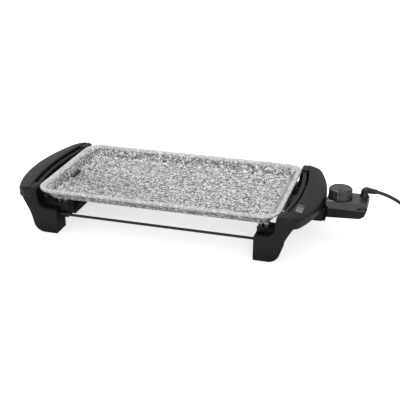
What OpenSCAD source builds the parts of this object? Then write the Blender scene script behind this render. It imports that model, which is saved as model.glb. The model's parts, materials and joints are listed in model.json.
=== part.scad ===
// Electric table griddle: a coated cast plate stands on its own feet between two
// moulded end frames, which are tied together by two steel rods. A drip tray slides
// in under the drain slot at the left. At the right a plug-in thermostat reaches
// under the plate with its sensor, and its lead is wound up beside it.
// Millimetres. X runs along the plate to the thermostat, Y to the back, Z up.

/* [Plate] */
// Length of the plate over its rim
plate_l = 460; // [420:5:500]
// Width of the plate over its rim
plate_w = 264; // [240:2:300]
// Radius of the rim's corners
rim_r = 32; // [26:1:36]
// Height of the rim's top above the table
rim_top = 88; // [84:1:96]
// Width of the flat lip round the rim
lip_w = 7; // [5:0.5:9]
// Thickness of the lip
lip_t = 5; // [4:0.5:6]
// Depth from the rim to the cooking floor
wall_h = 20; // [16:1:22]
// How far the side wall leans in over its depth
wall_run = 15; // [12:1:18]
// Thickness of the cooking floor
floor_t = 3.5; // [3:0.5:6]
// Length of the drain slot, across the plate
slot_l = 42; // [30:1:60]
// Width of the drain slot
slot_w = 9; // [7:0.5:12]
// Depth of the drain spout under the floor
spout_h = 12; // [8:1:16]
// Height of the plate's own cast feet
cast_foot_h = 7; // [5:0.5:9]

/* [Heating element] */
// Diameter of the tubular element
element_d = 8; // [6.5:0.1:9]
// Distance of the element's long runs from their middle line
element_half = 52; // [40:1:60]
// Diameter of the terminal pins
pin_d = 5; // [4:0.1:6]
// Distance between the two pins
pin_pitch = 28; // [26:1:32]

/* [End frames] */
// Depth of a leg, front to back
leg_d = 28; // [22:1:34]
// Depth of a foot, front to back
foot_d = 36; // [35:1:44]
// Height of the flat top of a foot
foot_top = 49; // [44:1:51]
// Thickness of a rubber foot pad
pad_t = 1; // [1:0.25:3]
// Width of the handle band at its middle
band_w = 39; // [34:1:44]
// Fall of the band's top from its ridge to its outer edge
band_fall = 8.5; // [5:0.5:12]
// Height of the band's ridge above the rim
ridge_rise = 3; // [2:0.5:6]
// Height of the band's outer skirt, under the ridge
skirt_h = 23; // [20:1:25]
// Wall of the handle covers
cover_wall = 3; // [2:0.25:4]
// Clear width of the groove between the band and the inner ledge
groove_w = 4.5; // [4:0.25:8]
// Width of the inner ledge
ledge_w = 7; // [5:0.5:9]
// Diameter of the tie rods
rod_d = 5; // [4:0.25:7]

/* [Drip tray] */
// Length of the tray, along the plate
tray_l = 80; // [70:1:90]
// Width of the tray, across the plate
tray_w = 124; // [100:1:130]
// Height of the tray
tray_h = 30; // [22:1:31]
// Wall of the tray
tray_wall = 1.8; // [1.2:0.2:3]

/* [Thermostat] */
// How far its middle lies behind the middle of the plate
thermo_y = 9; // [5:1:14]
// Length of the housing
body_l = 75; // [70:1:84]
// Width of the housing, front to back
body_w = 56; // [52:1:60]
// Wall of the housing
body_wall = 2.2; // [1.6:0.2:3]
// Diameter of the knob
knob_d = 43; // [38:1:46]
// Height of the knob
knob_h = 18; // [14:1:22]
// Number of grip flutes round the knob
flutes = 16; // [10:1:20]
// Diameter of the knob's spindle
spindle_d = 6; // [5:0.5:8]
// Diameter of the sensor probe
probe_d = 6; // [5:0.5:8]

/* [Lead] */
// Diameter of the lead
cord_d = 6.5; // [6:0.1:7]
// Inner radius of the wound coil, to the middle of the lead
coil_r = 29.5; // [28:0.5:34]

/* [Hidden] */
$fn = 64;
e = 0.01;
seat_gap = 0.3;
run_gap = 0.05;
plate_gap = 1;

// Colours of the pieces
black = "#2b2b2c";
soft_black = "#1a1a1a";
stone = "#bdbdb8";
steel = "#9a9c9e";
brassy = "#c2a45a";

// Plate, derived
end_x = plate_l / 2;
side_y = plate_w / 2;
floor_top = rim_top - wall_h;
under = floor_top - floor_t;
wall_in = lip_w + wall_run;
cast_w = 18;
cast_groove = 4;
cast_x = end_x - wall_in - cast_w / 2 + 2;
cast_in_x = cast_x - 17;
cast_y = side_y - 30;
slot_x = -(end_x - wall_in);

// Element and terminals, derived
element_z = under - 6;
rib_w = element_d + 8;
element_turn_x = -(end_x - 90);
element_bend_x = end_x - 85;
pin_y = pin_pitch / 2;
cold_end_x = end_x + 2;
bead_l = 6;
pin_out_x = cold_end_x + bead_l;
pin_tip_x = end_x + 52;
guard_in = pin_pitch / 2 + 6.8;
guard_t = 1.2;
guard_h = 15;
guard_from = end_x - 42;
guard_to = end_x + 32;

// End frames, derived: x is measured outwards from the plate's end
frame_y = side_y - 1;
band_top = rim_top + ridge_rise;
skirt_z = band_top - skirt_h;
ledge_top = rim_top - 2;
ledge_h = 22;
ledge_x = end_x + 12.5;
ridge_x = ledge_x + ledge_w + groove_w;
outer_x = ridge_x + band_w;
ridge_arc_r = 550;
outer_arc_r = 292;
corner_r = 13;
foot_in_x = end_x - 42;
shelf_top = under - cast_foot_h;
rod_y = frame_y - 12;
rod_z = 37.5;
rod_seat = 8;
tab_y = 62;
tab_t = 4.5;
tab_top = skirt_z - 1;
boss_x = ridge_x + 12;
screw_d = 3;
apron_z = ledge_top - ledge_h - 2;
apron_half = 72;

// Drip tray, derived
tray_from = -(end_x + 32);
tray_to = tray_from + tray_l;
tray_z = shelf_top - 14 - tray_h;
rail_lip = 5;
rail_t = 2.5;
rail_y = tray_w / 2 + rail_lip + 1.5;
flange_t = 1.8;
flange_z = tray_z + tray_h - 3.4;

// Thermostat, derived
body_x = outer_x + 2;
body_z = element_z - 9;
split_z = element_z + 9;
body_top = element_z + 21;
knob_x = body_x + 23;
knob_y = thermo_y + 3;
knob_z = body_top + seat_gap;
knob_top = knob_z + knob_h;
block_from = end_x + 38;
block_half = pin_y + 4.5;
relief = [body_x + 65, thermo_y + 19, body_top + 11.5];
scoop = [body_x + body_l - 4, thermo_y - body_w / 2 - 15];
scoop_r = 22;
screw_at = [[body_x + 8, thermo_y + 22.5], [body_x + 60, thermo_y - 6]];

// Lead: the free stretch runs from the strain relief down to the table
route = [
    [382.5, 28, 90], [391, 28, 88.3], [400.5, 28, 85.5], [410, 28.3, 81.6], [419, 29, 76.9],
    [428, 30.2, 70.8], [436.5, 32, 63.5], [444, 34.3, 55.5], [451, 37, 46.5],
    [458, 40, 37], [465.5, 43.3, 27.5], [474, 46.8, 18.5], [484, 50.4, 11], [495.5, 53.5, 6.4],
    [508, 55.8, 4.7], [521, 57, 4.5]
];
cord_sides = 10;

// Lead: the coil winds in on the table and out again on top of itself
layer_turns = 2.5;
turn_pitch = cord_d + 0.9;
layer_rise = cord_d + 0.7;
climb_dip = 1.4;
steps_per_turn = 24;
coil_sides = 6;
coil_out_r = coil_r + layer_turns * turn_pitch;
climb_from = layer_turns * 360;
climb_to = climb_from + 180;
coil_end = climb_to + layer_turns * 360;
coil_start = route[len(route) - 1];
coil_x = coil_start.x + cord_d;
coil_y = coil_start.y + coil_out_r;
plug_r = 18.5;
tie_t = 1;
tie_w = 4;
plug_pin_pitch = 19;
plug_pin_d = 4.8;
pin_root_d = 4;

// Middle of everything but the lead, which the origin stands under
mid_x = (body_x + body_l - outer_x) / 2;

function smooth(t) = t * t * (3 - 2 * t);
function sag(y, r) = r - sqrt(r * r - y * y);
function unit(v) = v / norm(v);

// Radius and height of the coil's middle line at an angle along it
function coil_radius(a) =
    a < climb_from ? coil_out_r - turn_pitch * a / 360 :
    a < climb_to ? coil_r - climb_dip * sin(a - climb_from) :
    coil_r + turn_pitch * (a - climb_to) / 360;
function coil_height(a) =
    a < climb_from ? coil_start.z :
    a < climb_to ? coil_start.z + layer_rise * smooth((a - climb_from) / 180) :
    a < coil_end - 90 ? coil_start.z + layer_rise :
    coil_start.z + layer_rise
        + (plug_r - coil_start.z - layer_rise) * smooth((a - coil_end + 90) / 90);
function coil_point(a) = [
    coil_x + coil_radius(a) * sin(a),
    coil_y - coil_radius(a) * cos(a),
    coil_height(a)
];
coil_steps = coil_end * steps_per_turn / 360;
wound = [for (i = [0:coil_steps]) coil_point(i * 360 / steps_per_turn)];
coil_path = concat([coil_start], wound, [wound[coil_steps] - [cord_d, 0, 0]]);

// Length of a path, and the least gap between a wound tube's turns
function path_length(p, i = 0) =
    i >= len(p) - 1 ? 0 : norm(p[i + 1] - p[i]) + path_length(p, i + 1);
function least_gap(p, apart) = min([
    for (i = [0:len(p) - 1 - apart]) for (j = [i + apart:len(p) - 1]) norm(p[i] - p[j])
]) - cord_d;
echo(lead_length = path_length(route) + path_length(coil_path));
echo(coil_least_gap = least_gap(coil_path, steps_per_turn / 2));

// Outline of a rectangle with round corners
function round_rect(l, w, r, n = 8) = [
    for (c = [[1, 1, 0], [-1, 1, 90], [-1, -1, 180], [1, -1, 270]]) for (i = [0:n])
        [c.x * (l / 2 - r) + r * cos(c.z + 90 * i / n),
         c.y * (w / 2 - r) + r * sin(c.z + 90 * i / n)]
];

// Outline between two bowed lines, grown by g, with round outer corners
function bow(x_in, x_out, half, g = 0, r = corner_r, n = 28) =
    let (y0 = half + g, ys = [for (i = [0:n]) -y0 * cos(180 * i / n)])
    concat(
        [for (y = ys) [x_in - g - sag(y, ridge_arc_r), y]],
        [for (i = [n:-1:0]) let (y = ys[i], over = max(0, abs(y) - (y0 - r)))
            [x_out + g - sag(y, outer_arc_r) - (r - sqrt(max(0, r * r - over * over))), y]]
    );

// Outline of a strip of even width w between two lines bowed alike
function strip(x, w, half, n = 28) =
    let (ys = [for (i = [0:n]) -half * cos(180 * i / n)])
    concat([for (y = ys) [x - sag(y, ridge_arc_r), y]],
           [for (i = [n:-1:0]) [x + w - sag(ys[i], ridge_arc_r), ys[i]]]);

// An arc in the plane, from one angle to another
function arc(cx, cy, r, from, to, n = 8) =
    [for (i = [0:n]) [cx + r * cos(from + (to - from) * i / n),
                      cy + r * sin(from + (to - from) * i / n)]];

// Everything is drawn about the middle of the plate and set down about the origin
module stand() {
    translate([-mid_x, 0, 0]) children();
}

// A straight round bar between two points
module bar(a, b, d) {
    v = b - a;
    translate(a) rotate([0, acos(v.z / norm(v)), atan2(v.y, v.x)]) cylinder(d = d, h = norm(v));
}

// A slab in the XZ plane, extruded along Y from y to y + depth
module slab(y, depth, points) {
    translate([0, y + depth, 0]) rotate([90, 0, 0]) linear_extrude(depth) polygon(points);
}

// A tube swept along points, with its ends square to the path
module sweep(p, d, sides) {
    n = len(p);
    rings = [for (i = [0:n - 1])
        let (t = unit(p[min(i + 1, n - 1)] - p[max(i - 1, 0)]),
             s = unit(cross(t, [0, 0, 1])), u = cross(s, t))
        for (k = [0:sides - 1])
            p[i] + d / 2 * (cos(360 * k / sides) * s + sin(360 * k / sides) * u)];
    skin = [for (i = [0:n - 2]) for (k = [0:sides - 1]) for (f = [0, 1])
        let (a = i * sides + k, b = i * sides + (k + 1) % sides)
        f == 0 ? [a, b, b + sides] : [a, b + sides, a + sides]];
    start = [for (k = [1:sides - 2]) [0, k + 1, k]];
    stop = [for (k = [1:sides - 2]) let (z = (n - 1) * sides) [z, z + k, z + k + 1]];
    polyhedron(concat(rings), concat(skin, start, stop), convexity = 10);
}

// Points of a rounded corner at b, on the way from a to c
function corner(a, b, c, r) =
    let (p = b + r * unit(a - b), q = b + r * unit(c - b))
    [for (t = [0:0.25:1]) (1 - t) * (1 - t) * p + 2 * t * (1 - t) * b + t * t * q];

// Middle line of one half of the element, from its cold end to the half turn
function element_half_path(s, end) =
    let (y0 = thermo_y + s * pin_y, y1 = thermo_y + s * element_half,
         tip = [end, y0, element_z], neck = [element_bend_x + 34, y0, element_z],
         bend = [element_bend_x, y1, element_z], turn = [element_turn_x, y1, element_z])
    concat([tip], corner(tip, neck, bend, 12), corner(neck, bend, turn, 12), [turn]);

// The whole element: two long runs, a half turn and two drawn-in ends
module element_path(d, end) {
    far = element_half_path(1, end);
    sweep(concat(
        element_half_path(-1, end),
        [for (i = [1:15]) [element_turn_x - element_half * sin(12 * i - 6 * i / 8),
                           thermo_y - element_half * cos(12 * i - 6 * i / 8), element_z]],
        [for (i = [len(far) - 1:-1:0]) far[i]]
    ), d, 16);
}

// Cast rib under the floor that holds the element, square at its underside
module element_rib() {
    y_run = element_half;
    h = under - element_z + 1;
    for (s = [-1, 1]) {
        translate([element_turn_x, thermo_y + s * y_run - rib_w / 2, element_z])
            cube([element_bend_x - element_turn_x, rib_w, h]);
        drawn = [34, s * (pin_y - y_run), 0];
        translate([element_bend_x, thermo_y + s * y_run, element_z])
            rotate([0, 0, atan2(drawn.y, drawn.x)])
            translate([0, -rib_w / 2, 0]) cube([norm(drawn), rib_w, h]);
        translate([element_bend_x, thermo_y + s * y_run, element_z]) cylinder(d = rib_w, h = h);
    }
    translate([element_turn_x, thermo_y, element_z]) difference() {
        cylinder(r = y_run + rib_w / 2, h = h);
        translate([0, 0, -e]) cylinder(r = y_run - rib_w / 2, h = h + 2 * e);
        translate([0, -y_run - rib_w, -e]) cube([y_run + rib_w, 2 * (y_run + rib_w), h + 2 * e]);
    }
}

// Round-cornered slab that a leaning wall is drawn between
module level(inset, z, r) {
    translate([0, 0, z]) linear_extrude(e)
        polygon(round_rect(plate_l - 2 * inset, plate_w - 2 * inset, r));
}

module griddle_plate() {
    color(stone) stand() difference() {
        union() {
            translate([0, 0, rim_top - lip_t]) linear_extrude(lip_t)
                polygon(round_rect(plate_l, plate_w, rim_r));
            hull() {
                level(3.5, rim_top - lip_t, rim_r - 3);
                level(wall_in - 2.5, under, rim_r - 18);
            }
            for (sx = [-1, 1]) for (sy = [-1, 1]) cast_foot(sx, sy);
            element_rib();
            translate([slot_x - slot_w / 2 - 3, -slot_l / 2 - 3 + 6, under - spout_h])
                cube([slot_w + 6, slot_l + 6, spout_h + 2]);
            translate([end_x - 38, thermo_y - 8, element_z - 7]) cube([20, 16, 14]);
        }
        hull() {
            level(lip_w, rim_top + e, rim_r - 6);
            level(wall_in, floor_top, 12);
        }
        translate([slot_x - slot_w / 2, -slot_l / 2 + 6, under - spout_h - 1])
            cube([slot_w, slot_l, spout_h + 40]);
        element_path(element_d, cold_end_x);
        translate([end_x - 36, thermo_y, element_z]) rotate([0, 90, 0])
            cylinder(d = probe_d + 0.16, h = 40);
    }
}

// A cast foot is a pair of pads with a groove between them
module cast_foot(sx, sy) {
    x = sx < 0 ? -cast_in_x : cast_x;
    for (s = [-1, 1])
        translate([x + s * (cast_w + cast_groove) / 4 - (cast_w - cast_groove) / 4,
                   sy * cast_y - 9, shelf_top])
            cube([(cast_w - cast_groove) / 2, 18, cast_foot_h + 1]);
}

module heating_element() {
    color(steel) stand() element_path(element_d, cold_end_x);
}

module terminal_pins() {
    color(brassy) stand() for (s = [-1, 1])
        bar([cold_end_x, thermo_y + s * pin_y, element_z],
            [pin_tip_x, thermo_y + s * pin_y, element_z], pin_d);
}

module terminal_insulators() {
    color("#e6e2d8") stand() for (s = [-1, 1]) difference() {
        bar([cold_end_x, thermo_y + s * pin_y, element_z],
            [pin_out_x, thermo_y + s * pin_y, element_z], element_d);
        bar([cold_end_x - 1, thermo_y + s * pin_y, element_z],
            [pin_out_x + 1, thermo_y + s * pin_y, element_z], pin_d + 2 * run_gap);
    }
}

// Bent sheet guard round the terminals, open below
module terminal_guard() {
    color(steel) stand() difference() {
        translate([guard_from, thermo_y - guard_in - guard_t, under - guard_h])
            cube([guard_to - guard_from, 2 * (guard_in + guard_t), guard_h]);
        translate([guard_from - 1, thermo_y - guard_in, under - guard_h - 1])
            cube([guard_to - guard_from + 2, 2 * guard_in, guard_h + 1 - guard_t]);
        translate([guard_from - 1, thermo_y - 8.5, element_z]) cube([28, 17, guard_h]);
    }
}

// Outline of a leg and its foot, seen from the front, at the right end
leg_outline = concat(
    [[foot_in_x, pad_t + 1.5], [foot_in_x + 1.5, pad_t]],
    arc(end_x - 16, pad_t + 22.5, 22.5, -90, -14),
    [[end_x + 7.5, 26], [end_x + 10, 35], [end_x + 13.5, 44], [end_x + 18, 53],
     [end_x + 23, 61.5], [end_x + 27.5, 68.5],
     [end_x + 28, skirt_z + 3], [end_x + 28, band_top - 2.2], [end_x + 1, band_top - 2.2],
     [end_x - 2.5, band_top - 5]],
    arc(end_x - 21, foot_top + 17, 16.5, 0, -90),
    [[foot_in_x + 3, foot_top], [foot_in_x, foot_top - 3]]
);

module leg(s, reach) {
    front = s < 0 ? -frame_y : frame_y - leg_d;
    slab(front, leg_d, leg_outline);
    intersection() {
        slab(s < 0 ? -frame_y : frame_y - foot_d, foot_d, leg_outline);
        translate([foot_in_x - 1, -frame_y - 1, 0])
            cube([end_x, 2 * frame_y + 2, foot_top]);
    }
    translate([foot_in_x + 2 - reach, s < 0 ? -frame_y + 18 : frame_y - 45, foot_top - 20])
        cube([33 + reach, 27, shelf_top - foot_top + 20]);
}

// Right-hand end frame: two legs, the bowed inner ledge and its apron
module end_frame(window) {
    difference() {
        union() {
            difference() {
                intersection() {
                    union() for (s = [-1, 1]) leg(s, window ? 0 : cast_x - cast_in_x);
                    linear_extrude(band_top) polygon(bow(foot_in_x - 9, outer_x, frame_y));
                }
                translate([0, 0, skirt_z]) linear_extrude(skirt_h + 9)
                    polygon(bow(ridge_x, outer_x + 60, frame_y + 9, run_gap));
                translate([0, 0, rim_top - lip_t - 2]) linear_extrude(20)
                    polygon(round_rect(plate_l + 2 * plate_gap, plate_w + 2 * plate_gap,
                                       rim_r + plate_gap));
            }
            translate([0, 0, ledge_top - ledge_h]) linear_extrude(ledge_h)
                polygon(strip(ledge_x, ledge_w, frame_y - leg_d + 4));
            translate([end_x - 4, -apron_half, apron_z]) cube([18, 2 * apron_half, 3]);
            for (s = [-1, 1])
                translate([ledge_x - 2, s * tab_y - 7, tab_top - tab_t])
                    cube([boss_x - ledge_x + 9, 14, tab_t]);
        }
        for (s = [-1, 1]) {
            translate([foot_in_x - 1, s * rod_y, rod_z]) rotate([0, 90, 0])
                cylinder(d = rod_d + 2 * run_gap, h = rod_seat + 1);
            translate([boss_x, s * tab_y, tab_top - tab_t - 1])
                cylinder(d = screw_d + 0.4, h = tab_t + 2);
        }
        if (window)
            translate([end_x - 5, thermo_y - guard_in - guard_t - 2, apron_z - 1])
                cube([27, 2 * (guard_in + guard_t + 2), 5]);
    }
}

module left_end_frame() {
    color(black) stand() mirror([1, 0, 0]) end_frame(false);
}

module right_end_frame() {
    color(black) stand() end_frame(true);
}

// Cone that the top of a handle band falls away along, t under its real top
module crown(t) {
    run = band_w / band_fall;
    low = skirt_z - 4;
    high = band_top + 3;
    translate([ridge_x - ridge_arc_r, 0, low]) cylinder(
        r1 = ridge_arc_r + (band_top - t - low) * run,
        r2 = ridge_arc_r + (band_top - t - high) * run, h = high - low, $fn = 360);
}

// Solid envelope of a handle cover, drawn in by t on every side
module cover_form(t) {
    intersection() {
        translate([0, 0, skirt_z - (t > 0 ? 1 : 0)]) linear_extrude(skirt_h + 2)
            polygon(bow(ridge_x, outer_x, frame_y, -t));
        crown(t);
    }
}

module handle_cover(lamp) {
    difference() {
        union() {
            difference() {
                cover_form(0);
                cover_form(cover_wall);
            }
            for (s = [-1, 1]) translate([boss_x, s * tab_y, tab_top])
                cylinder(d = 9, h = band_top - 5 - tab_top);
        }
        for (s = [-1, 1]) translate([boss_x, s * tab_y, tab_top - 1])
            cylinder(d = screw_d + 2 * run_gap, h = 13);
        if (lamp) lamp_slot(0, 20);
    }
}

// Long round-ended window near the front of the right-hand cover
lamp_x = ridge_x + 6;
lamp_y = -(frame_y - 47);
lamp_half = 12;
module lamp_slot(g, h) {
    for (s = [-1, 1]) translate([lamp_x, lamp_y + s * lamp_half, band_top - h])
        cylinder(r = 6 + g, h = h + 3);
    translate([lamp_x - 6 - g, lamp_y - lamp_half, band_top - h])
        cube([12 + 2 * g, 2 * lamp_half, h + 3]);
}

module left_handle_cover() {
    color(black) stand() mirror([1, 0, 0]) handle_cover(false);
}

module right_handle_cover() {
    color(black) stand() handle_cover(true);
}

// The lens fills the window, follows the band's top and stands a little proud of it
module lamp_lens() {
    color("#b98a86") stand() intersection() {
        lamp_slot(0, 8.5);
        crown(-0.5);
    }
}

module neon_lamp() {
    color("#d8603a") stand() translate([lamp_x, lamp_y + lamp_half - 4, band_top - 21]) {
        cylinder(r = 4, h = 12);
        translate([0, 0, -3]) cylinder(r = 5, h = 3 + e);
    }
}

module cover_screws() {
    color(steel) stand() for (m = [-1, 1]) for (s = [-1, 1])
        translate([m * boss_x, s * tab_y, tab_top - tab_t]) {
            cylinder(d = screw_d, h = 14);
            translate([0, 0, -2.4]) cylinder(d = 6.6, h = 2.4);
        }
}

// A tie rod runs from foot to foot and is held in a blind seat at each end
module tie_rod(s) {
    half = foot_in_x + rod_seat - 0.2;
    bar([-half, s * rod_y, rod_z], [half, s * rod_y, rod_z], rod_d);
}

module front_tie_rod() {
    color(soft_black) stand() tie_rod(-1);
}

module rear_tie_rod() {
    color(soft_black) stand() tie_rod(1);
}

module rubber_feet() {
    color(soft_black) stand() for (sx = [-1, 1]) for (sy = [-1, 1])
        translate([sx * (foot_in_x + 17), sy * (frame_y - foot_d / 2), 0]) {
            linear_extrude(pad_t) polygon(round_rect(26, foot_d - 10, 4));
        }
}

// Two runners hang from the left apron and carry the tray by its flanges
module tray_rails() {
    color(black) stand() for (s = [-1, 1]) {
        web = s < 0 ? -rail_y - rail_t : rail_y;
        slab(web, rail_t, [
            [-(end_x + 13), apron_z], [-(end_x - 60), apron_z], [-(end_x - 67), flange_z + 6],
            [tray_to + rail_t, tray_z + 14], [-(end_x + 13), tray_z + 14]
        ]);
        translate([-(end_x + 13), s < 0 ? web : rail_y - rail_lip, flange_z - seat_gap - 2])
            cube([tray_to + end_x + 9, rail_lip + rail_t, 2]);
    }
}

module drip_tray() {
    color(black) stand() {
        difference() {
            union() {
                translate([tray_from, -tray_w / 2, tray_z]) cube([tray_l, tray_w, tray_h]);
                translate([tray_from + 6, -tray_w / 2 - rail_lip + 0.5, flange_z])
                    cube([tray_l - 6, tray_w + 2 * rail_lip - 1, flange_t]);
            }
            translate([tray_from + tray_wall, -tray_w / 2 + tray_wall, tray_z + tray_wall])
                cube([tray_l - 2 * tray_wall, tray_w - 2 * tray_wall, tray_h]);
        }
        slab(-24, 48, [
            [tray_from + e, tray_z + tray_h - 12], [tray_from + e, tray_z + tray_h],
            [tray_from - 5, tray_z + tray_h], [tray_from - 5, tray_z + tray_h - 3],
            [tray_from - 2, tray_z + tray_h - 3], [tray_from - 2, tray_z + tray_h - 12]
        ]);
    }
}

// Rectangular shroud that guides the thermostat's nose to the pins
module socket_shroud() {
    wall = 2.5;
    w = body_w;
    floor_z = element_z - 18.5;
    roof_z = skirt_z - 0.4;
    from = ledge_x + ledge_w - 2;
    color(black) stand() difference() {
        union() {
            difference() {
                translate([from, thermo_y - w / 2, floor_z])
                    cube([outer_x - 2 - from, w, roof_z - floor_z]);
                translate([from - 1, thermo_y - w / 2 + wall, floor_z + wall])
                    cube([outer_x, w - 2 * wall, roof_z - floor_z - 2 * wall]);
            }
            translate([from, thermo_y - w / 2, roof_z - wall]) cube([4.4, w, 12 + wall]);
            translate([outer_x - 4, thermo_y - w / 2 + 3, floor_z]) cube([7, w - 6, wall]);
        }
        translate([0, 0, floor_z - 1]) linear_extrude(60)
            polygon(strip(ledge_x - 3, ledge_w + 3, 60));
    }
}

// Outline of the thermostat housing, seen from the front
body_outline = [
    [body_x, body_z + 1], [body_x + 1, body_z], [body_x + body_l - 12, body_z + 3.2],
    [body_x + body_l - 4, body_z + 8], [body_x + body_l, split_z], [body_x + body_l, body_top - 2],
    [body_x + body_l - 2, body_top], [body_x + 2, body_top], [body_x, body_top - 2]
];

// Housing with its front shoulder sloped back and its outer corners cut off
module body_form(t) {
    intersection() {
        slab(thermo_y - body_w / 2 + t, body_w - 2 * t, body_outline);
        translate([body_x + body_l / 2, thermo_y, body_z]) linear_extrude(40)
            polygon(round_rect(body_l - 2 * t, body_w - 2 * t, 7));
        translate([body_x - 1, 0, 0]) rotate([90, 0, 90]) linear_extrude(body_l + 2) polygon([
            [thermo_y - body_w / 2 + t, body_z + t - 2], [thermo_y + body_w / 2, body_z + t - 2],
            [thermo_y + body_w / 2, body_top - t], [thermo_y - body_w / 2 + 11 + t, body_top - t],
            [thermo_y - body_w / 2 + t, split_z + 3]
        ]);
    }
}

module thermostat_base() {
    color(black) stand() difference() {
        union() {
            difference() {
                intersection() {
                    body_form(0);
                    translate([body_x - 1, -90, 0]) cube([body_l + 2, 180, split_z]);
                }
                intersection() {
                    body_form(body_wall);
                    translate([body_x + body_wall, -90, body_z + body_wall + 3])
                        cube([body_l - 2 * body_wall, 180, 60]);
                }
            }
            for (i = [0:6]) translate([body_x + 12 + 4 * i, thermo_y - body_w / 2 - 0.8, body_z + 3.5])
                cube([2, 2, split_z - body_z - 5]);
            for (p = screw_at) translate([p.x, p.y, body_z + 1]) cylinder(d = 7, h = split_z - body_z - 1);
        }
        for (p = screw_at) translate([p.x, p.y, body_z - 1]) {
            cylinder(d = screw_d + 0.4, h = 40);
            cylinder(d = 7, h = 4.2);
        }
        translate([body_x - 1, thermo_y - block_half, element_z - 6]) cube([9, 2 * block_half, 11]);
    }
}

module thermostat_top() {
    color(black) stand() difference() {
        union() {
            difference() {
                intersection() {
                    body_form(0);
                    translate([body_x - 1, -90, split_z]) cube([body_l + 2, 180, 40]);
                }
                difference() {
                    intersection() {
                        body_form(body_wall);
                        translate([body_x + body_wall, -90, split_z - 1])
                            cube([body_l - 2 * body_wall, 180, body_top - body_wall - split_z + 1]);
                    }
                    translate([scoop.x, scoop.y, split_z - 2]) cylinder(r = scoop_r + 2, h = 30);
                }
            }
            for (p = screw_at) translate([p.x, p.y, split_z]) cylinder(d = 7, h = body_top - split_z - 1);
        }
        for (p = screw_at) translate([p.x, p.y, split_z - 1])
            cylinder(d = screw_d + 2 * run_gap, h = 9);
        translate([knob_x, knob_y, split_z]) cylinder(d = spindle_d + 0.16, h = 30);
        translate([scoop.x, scoop.y, split_z + 2]) cylinder(r = scoop_r, h = 30);
    }
}

// Insulating block that carries the two sockets and the probe
module contact_block() {
    color("#3a3632") stand() difference() {
        translate([block_from, thermo_y - block_half, element_z - 6])
            cube([body_x + 8 - block_from, 2 * block_half, 11]);
        for (s = [-1, 1]) translate([block_from - 1, thermo_y + s * pin_y, element_z])
            rotate([0, 90, 0]) cylinder(d = pin_d + 2.7, h = 23.5);
        translate([block_from - 1, thermo_y, element_z]) rotate([0, 90, 0])
            cylinder(d = probe_d, h = 60);
    }
}

module contact_sockets() {
    color(brassy) stand() for (s = [-1, 1])
        translate([block_from + 0.5, thermo_y + s * pin_y, element_z]) rotate([0, 90, 0]) difference() {
            cylinder(d = pin_d + 2.6, h = 22);
            translate([0, 0, -1]) cylinder(d = pin_d + 0.16, h = 20);
        }
}

module sensor_probe() {
    tip = end_x - 28;
    color(steel) stand() {
        bar([tip + probe_d / 2, thermo_y, element_z], [body_x + 9, thermo_y, element_z], probe_d);
        translate([tip + probe_d / 2, thermo_y, element_z]) sphere(d = probe_d);
    }
}

module switch_block() {
    color("#6b6256") stand() difference() {
        translate([knob_x - 11, knob_y - 12, body_z + body_wall + 3]) cube([24, 24, split_z - body_z - 7]);
        translate([knob_x, knob_y, split_z - 6]) cylinder(d = spindle_d + 0.16, h = 9);
    }
}

module knob_spindle() {
    color(steel) stand() bar([knob_x, knob_y, split_z - 4.5], [knob_x, knob_y, knob_top - 5.5], spindle_d);
}

module control_knob() {
    color(black) stand() translate([knob_x, knob_y, knob_z]) difference() {
        union() {
            cylinder(d1 = knob_d + 2, d2 = knob_d, h = 4);
            translate([0, 0, 4]) cylinder(d = knob_d, h = knob_h - 6);
            translate([0, 0, knob_h - 2]) cylinder(d1 = knob_d, d2 = knob_d - 4, h = 2);
        }
        for (i = [0:flutes - 1]) rotate([0, 0, 360 * i / flutes])
            translate([knob_d / 2 + 1.2, 0, 5.5]) cylinder(d = 4.4, h = knob_h);
        translate([0, 0, knob_h - 1.6]) cylinder(d = knob_d - 9, h = 3);
        translate([0, 0, -1]) cylinder(d = spindle_d + 2 * run_gap, h = knob_h - 4.5);
        difference() {
            translate([0, 0, -1]) cylinder(d = knob_d - 7, h = knob_h - 5);
            translate([0, 0, -2]) cylinder(d = spindle_d + 5, h = knob_h);
        }
    }
}

// Disc let into the top of the knob, with a ridge that points forward
module knob_cap() {
    color("#4a4a4c") stand() translate([knob_x, knob_y, knob_top - 1.6]) {
        cylinder(d = knob_d - 9 - 2 * run_gap, h = 1.2);
        translate([-1.5, -(knob_d - 13) / 2, 1.2 - e]) cube([3, (knob_d - 13) / 2, 0.9]);
    }
}

module housing_screws() {
    color(steel) stand() for (p = screw_at) translate([p.x, p.y, body_z + 3.2 - 2.2]) {
        cylinder(d = screw_d, h = split_z - body_z + 5);
        cylinder(d = 6.4, h = 2.2);
    }
}

// Elbow that lifts the lead off the housing, with a tapered sleeve
module strain_relief() {
    tip = route[0];
    v = tip - relief;
    lean = acos(v.z / norm(v));
    color("#4c4c4e") stand() {
        translate([relief.x, relief.y, body_top]) cylinder(d1 = 16, d2 = 13.6, h = 6);
        translate([relief.x, relief.y, body_top + 6]) cylinder(d = 13.6, h = relief.z - body_top - 6);
        translate(relief) sphere(d = 13.6);
        translate(relief) rotate([0, lean, atan2(v.y, v.x)])
            cylinder(d1 = 11, d2 = cord_d + 1.6, h = norm(v));
    }
}

module power_cord() {
    color(soft_black) stand() sweep(route, cord_d, cord_sides);
}

module power_cord_coil() {
    color(soft_black) stand() sweep(coil_path, cord_d, coil_sides);
}

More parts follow.
